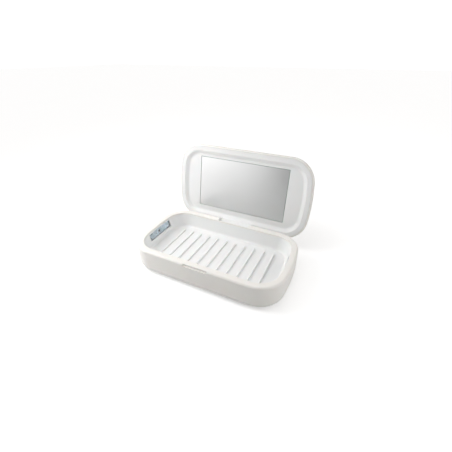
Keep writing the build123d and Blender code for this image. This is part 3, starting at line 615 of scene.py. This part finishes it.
@dataclass
class LampEnd:
    """One end lamp: window pane, embossed reflector and ultraviolet lamp chip."""

    side: int
    lean: float = 13.0
    plate_long: float = 50.4 * MM
    plate_high: float = 12.4 * MM
    pane_thick: float = 1.0 * MM
    foil_thick: float = 0.4 * MM
    hole: float = 2.6 * MM
    chip: float = 3.5 * MM
    chip_thick: float = 0.7 * MM
    dome: float = 1.2 * MM
    chip_back: float = 2.1 * MM

    @property
    def name(self) -> str:
        """Which end this is."""
        return "left" if self.side < 0 else "right"

    def seat(self, node: str, back: float = 0.0) -> Seat:
        """The lamp's leaning plane through a solid's middle, facing into the box.

        Args:
            node: Solid whose middle is used.
            back: How far behind it the plane lies.

        Returns:
            The seat.
        """
        s, c = sin(radians(self.lean)), cos(radians(self.lean))
        out = np.array([-self.side * c, 0.0, s])
        origin = node_centre(node) - out * back
        return Seat(tuple(origin), (0.0, -float(self.side), 0.0),
                    (self.side * s, 0.0, c), tuple(out))

    def pane(self) -> bpy.types.Object:
        """Window pane: a plate with a polished chamfer round its front and back."""
        h, a = self.pane_thick / 2, 0.18 * MM
        rings = plate_rings(self.plate_long, self.plate_high, 0.8 * MM,
                            [(a, -h), (0.0, -h + a), (0.0, h - a), (a * 0.3, h - a * 0.3),
                             (a, h)])
        points, faces = ring_faces(rings, True, True)
        seat = self.seat(f"{self.name}_window")
        obj = build_mesh(f"{self.name}_window_pane", [(seat.place(points), faces)])
        return finish_piece(obj, ["quartz"], "base", "quartz", f"{self.name}_window")

    def reflector(self) -> bpy.types.Object:
        """Embossed foil from its edge to the round lamp hole.

        The front is a grid of (way from hole to edge, way round); each point lies on the
        straight line from the hole's circle to the outline, and its height is a sum of
        crossed sine waves of about 2 mm, faded out at both rims.
        """
        around, steps = 168, 26
        outline = resample(rounded_loop(self.plate_long, self.plate_high, 0.8 * MM), around)
        turn = np.arctan2(outline[:, 1], outline[:, 0])
        circle = self.hole * np.column_stack([np.cos(turn), np.sin(turn)])
        way = np.linspace(0.0, 1.0, steps)[:, None, None]
        flat = circle + (outline - circle) * way
        x, y = flat[..., 0] / MM, flat[..., 1] / MM
        wave = (np.sin(2.9 * x + 0.7 * np.sin(1.3 * y)) * np.sin(3.3 * y + 0.9)
                + 0.6 * np.sin(1.7 * x + 2.1 * y) * np.cos(2.3 * y - 1.1 * x))
        fade = np.clip(np.minimum(way[..., 0], 1 - way[..., 0]) * 6, 0, 1)
        half = self.foil_thick / 2
        front = np.dstack([flat, half - 0.06 * MM * (1 + 0.7 * wave) * fade])
        back = np.dstack([flat[::-1], np.full((steps, around), -half)])
        rings = np.concatenate([front, back, front[:1]])
        points, faces = ring_faces(rings, False, False)
        seat = self.seat(f"{self.name}_reflector")
        obj = build_mesh(f"{self.name}_reflector_foil", [(seat.place(points), faces)], 50.0)
        return finish_piece(obj, ["foil"], "base", "reflector_foil",
                            f"{self.name}_reflector")

    def lamp_chip(self) -> bpy.types.Object:
        """Lamp chip: ceramic body with a nickel-plated frame and a domed quartz lens."""
        t, a, c = self.chip_thick, 0.12 * MM, self.chip
        body = plate_rings(c, c, 0.25 * MM, [(0.0, 0.0), (0.0, t - a), (a, t)])
        ring = plate_rings(c * 0.82, c * 0.82, 0.3 * MM,
                           [(0.0, t), (0.0, t + a * 0.6), (a * 0.4, t + a),
                            (0.3 * MM, t + a), (0.34 * MM, t)])
        lift = np.linspace(0.0, np.pi / 2, 10)
        dome = lathe_rings([(self.dome * cos(v) + 1e-6, t + 0.48 * MM * sin(v))
                            for v in lift], 40)
        seat = self.seat(f"{self.name}_window", self.chip_back)
        parts = []
        for rings in (body, ring, dome):
            points, faces = ring_faces(rings, True, True)
            parts.append((seat.place(points), faces))
        obj = build_mesh(f"{self.name}_lamp_chip", parts, 40.0, [0, 1, 2])
        return finish_piece(obj, ["ceramic", "nickel", "quartz"], "base", "ceramic_chip",
                            f"{self.name}_uv_led")

    def build(self) -> None:
        """Builds the window, the reflector and the lamp chip."""
        self.pane()
        self.reflector()
        self.lamp_chip()


@dataclass
class Underside:
    """Feet and cover screws under the box."""

    foot_r: float = 5.9 * MM
    foot_high: float = 2.0 * MM
    head_r: float = 2.1 * MM
    head_thick: float = 1.0 * MM
    shank_r: float = 1.0 * MM
    screw_long: float = 7.6 * MM

    def corners(self, node: str, radius: float) -> list[tuple[float, float]]:
        """Centres of four like pieces at the corners of a solid's box.

        Args:
            node: The solid that holds the four.
            radius: Radius of one of them.

        Returns:
            The four centres in plan.
        """
        low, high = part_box(node)
        return [(x, y) for x in (low.x + radius, high.x - radius)
                for y in (low.y + radius, high.y - radius)]

    def feet(self) -> bpy.types.Object:
        """Rubber feet: a turned disc with two grip grooves and a soft lower edge."""
        r, h, g = self.foot_r, self.foot_high, 0.25 * MM
        profile = [(0.6 * MM, 0.35 * MM), (1.0 * MM, 0.0)]
        for groove in (2.3 * MM, 3.9 * MM):
            profile += [(groove - 0.5 * MM, 0.0), (groove - 0.25 * MM, g),
                        (groove + 0.25 * MM, g), (groove + 0.5 * MM, 0.0)]
        profile += [(r - 0.6 * MM, 0.0), (r - 0.25 * MM, 0.1 * MM), (r - 0.07 * MM, 0.3 * MM),
                    (r, 0.6 * MM), (r, h)]
        rings = lathe_rings(profile, 56)
        parts = []
        for x, y in self.corners("feet", r):
            points, faces = ring_faces(rings, True, True)
            parts.append((points + np.array([x, y, 0.0]), faces))
        obj = build_mesh("rubber_feet", parts)
        return finish_piece(obj, ["rubber"], "base", "rubber_grey", "feet")

    def screws(self) -> bpy.types.Object:
        """Cover screws: a pan head with a cross recess, and a shank with thread rings.

        The head is a grid of (radius, angle); its height is a shallow dome less a cross
        whose arms are where the smaller of |x|, |y| is under half an arm's width.
        """
        steps, around = 22, 96
        radius = np.linspace(0.02, 1.0, steps)[:, None] * self.head_r
        turn = np.linspace(0.0, 2 * np.pi, around, endpoint=False)[None, :]
        x, y = radius * np.cos(turn), radius * np.sin(turn)
        arm = np.clip(1.0 - np.minimum(abs(x), abs(y)) / (0.32 * MM), 0, 1) ** 0.5
        reach = np.clip((1.25 * MM - np.maximum(abs(x), abs(y))) / (0.5 * MM), 0, 1)
        dome = 0.3 * MM * (radius / self.head_r) ** 4
        face = np.dstack([x, y, dome + 0.62 * MM * arm * reach + 0 * x])
        rim = [(self.head_r, self.head_thick), (self.shank_r, self.head_thick)]
        for k in range(12):
            z = self.head_thick + (0.4 + 0.55 * k) * MM
            rim += [(self.shank_r * 0.82, z), (self.shank_r, z + 0.27 * MM)]
        rim += [(self.shank_r * 0.4, self.head_thick + self.screw_long - 0.1 * MM)]
        rings = np.concatenate([face, lathe_rings(rim, around)])
        low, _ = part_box("cover_screws")
        parts = []
        for px, py in self.corners("cover_screws", self.head_r):
            points, faces = ring_faces(rings, True, True)
            parts.append((points + np.array([px, py, low.z]), faces))
        obj = build_mesh("cover_pan_screws", parts, 40.0)
        return finish_piece(obj, ["screw"], "base", "screw_steel", "cover_screws")

    def build(self) -> None:
        """Builds the feet and the cover screws."""
        self.feet()
        self.screws()


@dataclass
class BackPanel:
    """Charging inlet, power button and status light in the back wall."""

    inlet_wide: float = 8.9 * MM
    inlet_high: float = 3.2 * MM
    inlet_deep: float = 7.3 * MM
    sheet: float = 0.3 * MM
    tongue_wide: float = 6.2 * MM
    tongue_thick: float = 0.7 * MM
    contacts: int = 12
    button_r: float = 3.1 * MM
    flange_r: float = 3.8 * MM
    flange: float = 0.8 * MM
    lens_r: float = 1.1 * MM

    def seat(self, node: str) -> Seat:
        """The back-facing plane through a solid's middle and its outer face."""
        centre = node_centre(node)
        return Seat((centre[0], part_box(node)[1].y, centre[2]), (-1.0, 0.0, 0.0),
                    (0.0, 0.0, 1.0), (0.0, 1.0, 0.0))

    def inlet(self) -> bpy.types.Object:
        """Charging shell: sheet rolled into an oval tube with a rounded lip and a floor."""
        s, d = self.sheet, self.inlet_deep
        steps = [(0.0, -d), (0.0, -s), (0.05 * MM, -0.1 * MM), (s / 2, 0.0),
                 (s - 0.05 * MM, -0.1 * MM), (s, -s), (s, -d + 1.0 * MM)]
        rings = plate_rings(self.inlet_wide, self.inlet_high, 1.4 * MM, steps)
        points, faces = ring_faces(rings, True, True)
        obj = build_mesh("charging_inlet_shell", [(self.seat("usb_shell").place(points),
                                                   faces)])
        return finish_piece(obj, ["nickel"], "base", "steel_shell", "usb_shell")

    def tongue(self) -> bpy.types.Object:
        """Inlet tongue with a rounded tip and a row of gold contacts on each face."""
        seat = self.seat("usb_tongue")
        low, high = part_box("usb_tongue")
        long = high.y - low.y
        tip = 0.25 * MM
        body = plate_rings(self.tongue_wide, self.tongue_thick, 0.2 * MM,
                           [(0.0, -long), (0.0, -tip), (tip * 0.4, -tip * 0.3), (tip, 0.0)])
        points, faces = ring_faces(body, True, True)
        parts, slots = [(seat.place(points), faces)], [0]
        pad = plate_rings(0.26 * MM, 3.0 * MM, 0.08 * MM,
                          [(0.0, -0.05 * MM), (0.0, 0.02 * MM), (0.04 * MM, 0.04 * MM)])
        spots = (np.arange(self.contacts) - (self.contacts - 1) / 2) * 0.5 * MM
        for face in (-1, 1):
            turned = Seat((0.0, face * self.tongue_thick / 2, -2.2 * MM), (1.0, 0.0, 0.0),
                          (0.0, 0.0, 1.0), (0.0, float(face), 0.0))
            for x in spots:
                points, faces = ring_faces(pad + np.array([x, 0.0, 0.0]), True, True)
                parts.append((seat.place(turned.place(points)), faces))
                slots.append(1)
        obj = build_mesh("charging_inlet_tongue", parts, 32.0, slots)
        return finish_piece(obj, ["epoxy", "gold"], "base", "black_epoxy", "usb_tongue")

    def button(self) -> bpy.types.Object:
        """Power button: a dished cap with a raised on-off mark, on a hidden flange.

        The cap is a grid of (radius, angle); its height is a shallow bowl plus the mark,
        which stands up where the point lies on a broken ring or on the short bar.
        """
        low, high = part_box("power_button")
        long = high.y - low.y
        steps, around = 40, 120
        radius = np.linspace(0.02, 1.0, steps)[:, None] * (self.button_r - 0.4 * MM)
        turn = np.linspace(0.0, 2 * np.pi, around, endpoint=False)[None, :]
        x, y = radius * np.cos(turn), radius * np.sin(turn)
        ring = np.clip(1.5 - abs(radius - 1.25 * MM) / (0.11 * MM), 0, 1)
        ring = ring * (abs(turn - np.pi / 2) > 0.5)
        bar = (np.clip(1.5 - abs(x) / (0.11 * MM), 0, 1)
               * np.clip((y - 0.35 * MM) / (0.1 * MM), 0, 1)
               * np.clip((1.65 * MM - y) / (0.1 * MM), 0, 1))
        bowl = -0.3 * MM * (1 - (radius / (self.button_r - 0.4 * MM)) ** 2)
        face = np.dstack([x, y, bowl + 0.1 * MM * np.maximum(ring, bar)])
        r, f = self.button_r, self.flange_r
        side = lathe_rings([(r - 0.2 * MM, -0.03 * MM), (r - 0.05 * MM, -0.15 * MM),
                            (r, -0.4 * MM), (r, -long + self.flange),
                            (f, -long + self.flange), (f, -long)], around)
        rings = np.concatenate([face, side])
        points, faces = ring_faces(rings, True, True)
        obj = build_mesh("power_button_cap", [(self.seat("power_button").place(points),
                                               faces)], 40.0)
        return finish_piece(obj, ["button"], "button", "button_grey", "power_button")

    def status_lens(self) -> bpy.types.Object:
        """Light pipe: a turned rod with a shouldered foot and a softly domed face."""
        low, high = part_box("light_pipe")
        long, r = high.y - low.y, self.lens_r
        profile = [(0.02 * MM, 0.0), (r * 0.5, -0.03 * MM), (r * 0.85, -0.1 * MM),
                   (r, -0.28 * MM), (r, -long + 2.0 * MM), (r + 0.6 * MM, -long + 2.0 * MM),
                   (r + 0.6 * MM, -long)]
        points, faces = ring_faces(lathe_rings(profile, 48), True, True)
        obj = build_mesh("status_light_lens", [(self.seat("light_pipe").place(points),
                                                faces)])
        return finish_piece(obj, ["diffuser"], "base", "clear_plastic", "light_pipe")

    def build(self) -> None:
        """Builds everything in the back wall."""
        self.inlet()
        self.tongue()
        self.button()
        self.status_lens()


# ------------------------------------------------------------------ studio
@dataclass
class Studio:
    """Plain pale sweep, soft lights and the camera."""

    floor_half: float = 6.0
    glow_near: float = 0.36
    glow_far: float = 0.64
    camera_at: tuple[float, float, float] = (0.15228, -0.28620, 0.26885)
    camera_back: tuple[float, float, float] = (0.37753, -0.78547, 0.49042)
    lens: float = 22.433
    shift: tuple[float, float] = (-0.00014, -0.03507)

    def floor(self) -> None:
        """Floor sheet: a flat grid, larger than anything that mirrors it."""
        side = np.linspace(-self.floor_half, self.floor_half, 5)
        x, y = np.meshgrid(side, side, indexing="ij")
        points = np.stack([x.ravel(), y.ravel(), np.zeros(x.size)], axis=1)
        index = np.arange(25).reshape(5, 5)
        faces = np.stack([index[:-1, :-1], index[1:, :-1], index[1:, 1:], index[:-1, 1:]],
                         axis=2).reshape(-1, 4)
        mesh = bpy.data.meshes.new("paper_floor")
        mesh.from_pydata(points.tolist(), [], faces.tolist())
        obj = bpy.data.objects.new("paper_floor", mesh)
        bpy.context.scene.collection.objects.link(obj)
        mesh.materials.append(self.paper())

    def paper(self) -> bpy.types.Material:
        """Background paper: matt and white, with a painted glow that only the camera sees.

        The glow grows smoothly with distance from the origin, so that the paper is a
        clean white away from the object; nearer the object the glow is weaker, a painted
        shade round it that keeps the soft shadow beneath it.

        Returns:
            The material.
        """
        material = Finish("background_paper_matt", Surface.MOULDED, "EBEBEB", "E8E8E8",
                          (0.85, 0.95), 3.0, 20.0, 200.0).build()
        tree = material.node_tree
        seen = add_node(tree, "ShaderNodeLightPath").outputs["Is Camera Ray"]
        place = add_node(tree, "ShaderNodeTexCoord").outputs["Object"]
        away = add_node(tree, "ShaderNodeVectorMath", {".operation": "LENGTH"},
                        {0: place}).outputs["Value"]
        # Painted shade: the glow is weaker near the object, so the paper round it is darker.
        level = add_node(tree, "ShaderNodeMapRange",
                         {".interpolation_type": "SMOOTHSTEP", "From Min": 0.10,
                          "From Max": 0.45, "To Min": self.glow_near,
                          "To Max": self.glow_far}, {"Value": away}).outputs[0]
        level = add_node(tree, "ShaderNodeMath", {".operation": "MULTIPLY"},
                         {0: level, 1: seen}).outputs[0]
        glow = add_node(tree, "ShaderNodeEmission", {}, {"Strength": level}).outputs[0]
        out = next(n for n in tree.nodes if n.type == "OUTPUT_MATERIAL")
        both = add_node(tree, "ShaderNodeAddShader", {},
                        {0: out.inputs[0].links[0].from_socket, 1: glow}).outputs[0]
        tree.links.new(both, out.inputs[0])
        return material

    def soft_light(self, name: str, at: tuple[float, float, float],
                   to: tuple[float, float, float], size: tuple[float, float],
                   power: float, colour: str = "FFFFFF") -> None:
        """Hangs one soft box.

        Args:
            name: Light name.
            at: Where it hangs.
            to: Point it faces.
            size: Width and height.
            power: Watts.
            colour: sRGB hex colour.
        """
        data = bpy.data.lights.new(name, "AREA")
        data.shape = "RECTANGLE"
        data.size, data.size_y = size
        data.energy = power
        data.color = linear(colour)[:3]
        obj = bpy.data.objects.new(name, data)
        obj.location = at
        aim = Vector(at) - Vector(to)
        obj.rotation_mode = "QUATERNION"
        obj.rotation_quaternion = aim.to_track_quat("Z", "Y")
        bpy.context.scene.collection.objects.link(obj)

    def room(self, dark: float = 0.0, bright: float = 0.58) -> None:
        """Room light: even and bright, falling off towards the front.

        Args:
            dark: Strength straight in front.
            bright: Strength everywhere else.
        """
        world = bpy.data.worlds.new("white_room")
        world.use_nodes = True
        tree = world.node_tree
        tree.nodes.clear()
        way = add_node(tree, "ShaderNodeTexCoord").outputs["Generated"]
        front = add_node(tree, "ShaderNodeVectorMath",
                         {".operation": "DOT_PRODUCT", 1: (0.30, -0.94, 0.15)},
                         {0: way}).outputs["Value"]
        level = add_node(tree, "ShaderNodeMapRange",
                         {".interpolation_type": "SMOOTHSTEP", "From Min": 0.10,
                          "From Max": 0.80, "To Min": bright, "To Max": dark},
                         {"Value": front}).outputs[0]
        seen = add_node(tree, "ShaderNodeLightPath").outputs["Is Camera Ray"]
        level = add_node(tree, "ShaderNodeMath", {".operation": "ADD"},
                         {0: level, 1: seen}).outputs[0]
        glow = add_node(tree, "ShaderNodeBackground", {"Color": linear("FFFDFB")},
                        {"Strength": level})
        add_node(tree, "ShaderNodeOutputWorld", {}, {"Surface": glow.outputs[0]})
        bpy.context.scene.world = world

    def camera(self) -> None:
        """Camera above the front right, level, with a small rise of the frame."""
        data = bpy.data.cameras.new("camera")
        data.sensor_width = 36.0
        data.lens = self.lens
        data.shift_x, data.shift_y = self.shift
        data.clip_start, data.clip_end = 0.01, 50.0
        obj = bpy.data.objects.new("camera", data)
        obj.location = self.camera_at
        obj.rotation_mode = "QUATERNION"
        obj.rotation_quaternion = Vector(self.camera_back).to_track_quat("Z", "Y")
        bpy.context.scene.collection.objects.link(obj)
        bpy.context.scene.camera = obj

    def build(self) -> None:
        """Sets up the whole studio."""
        bpy.context.scene.view_settings.view_transform = "Standard"
        self.floor()
        self.soft_light("near_left_soft_box", (-0.30, -0.10, 0.29), (-0.05, 0.07, 0.06),
                        (0.25, 0.25), 1.05)
        self.soft_light("left_soft_box", (-0.60, 0.10, 0.30), (-0.05, 0.05, 0.05),
                        (0.4, 0.4), 0.41)
        self.soft_light("right_soft_box", (0.57, -0.05, 0.27), (0.10, 0.0, 0.03),
                        (0.4, 0.4), 1.15)
        self.soft_light("front_left_card", (-0.29, -0.45, 0.20), (0.0, 0.078, 0.11),
                        (0.42, 0.36), 0.46)
        self.soft_light("overhead_strip", (0.0, -0.06, 0.45), (0.0, -0.02, 0.03),
                        (0.36, 0.16), 0.34)
        self.room()
        self.camera()


def main() -> None:
    """Builds the box's pieces in order, then the studio."""
    logging.basicConfig(level=logging.INFO, format="%(name)s: %(message)s")
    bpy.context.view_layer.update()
    dress_nodes()
    for assembly in (Lid(), LampEnd(-1), LampEnd(1), Underside(), BackPanel()):
        assembly.build()
    Studio().build()


if __name__ == "__main__":
    main()
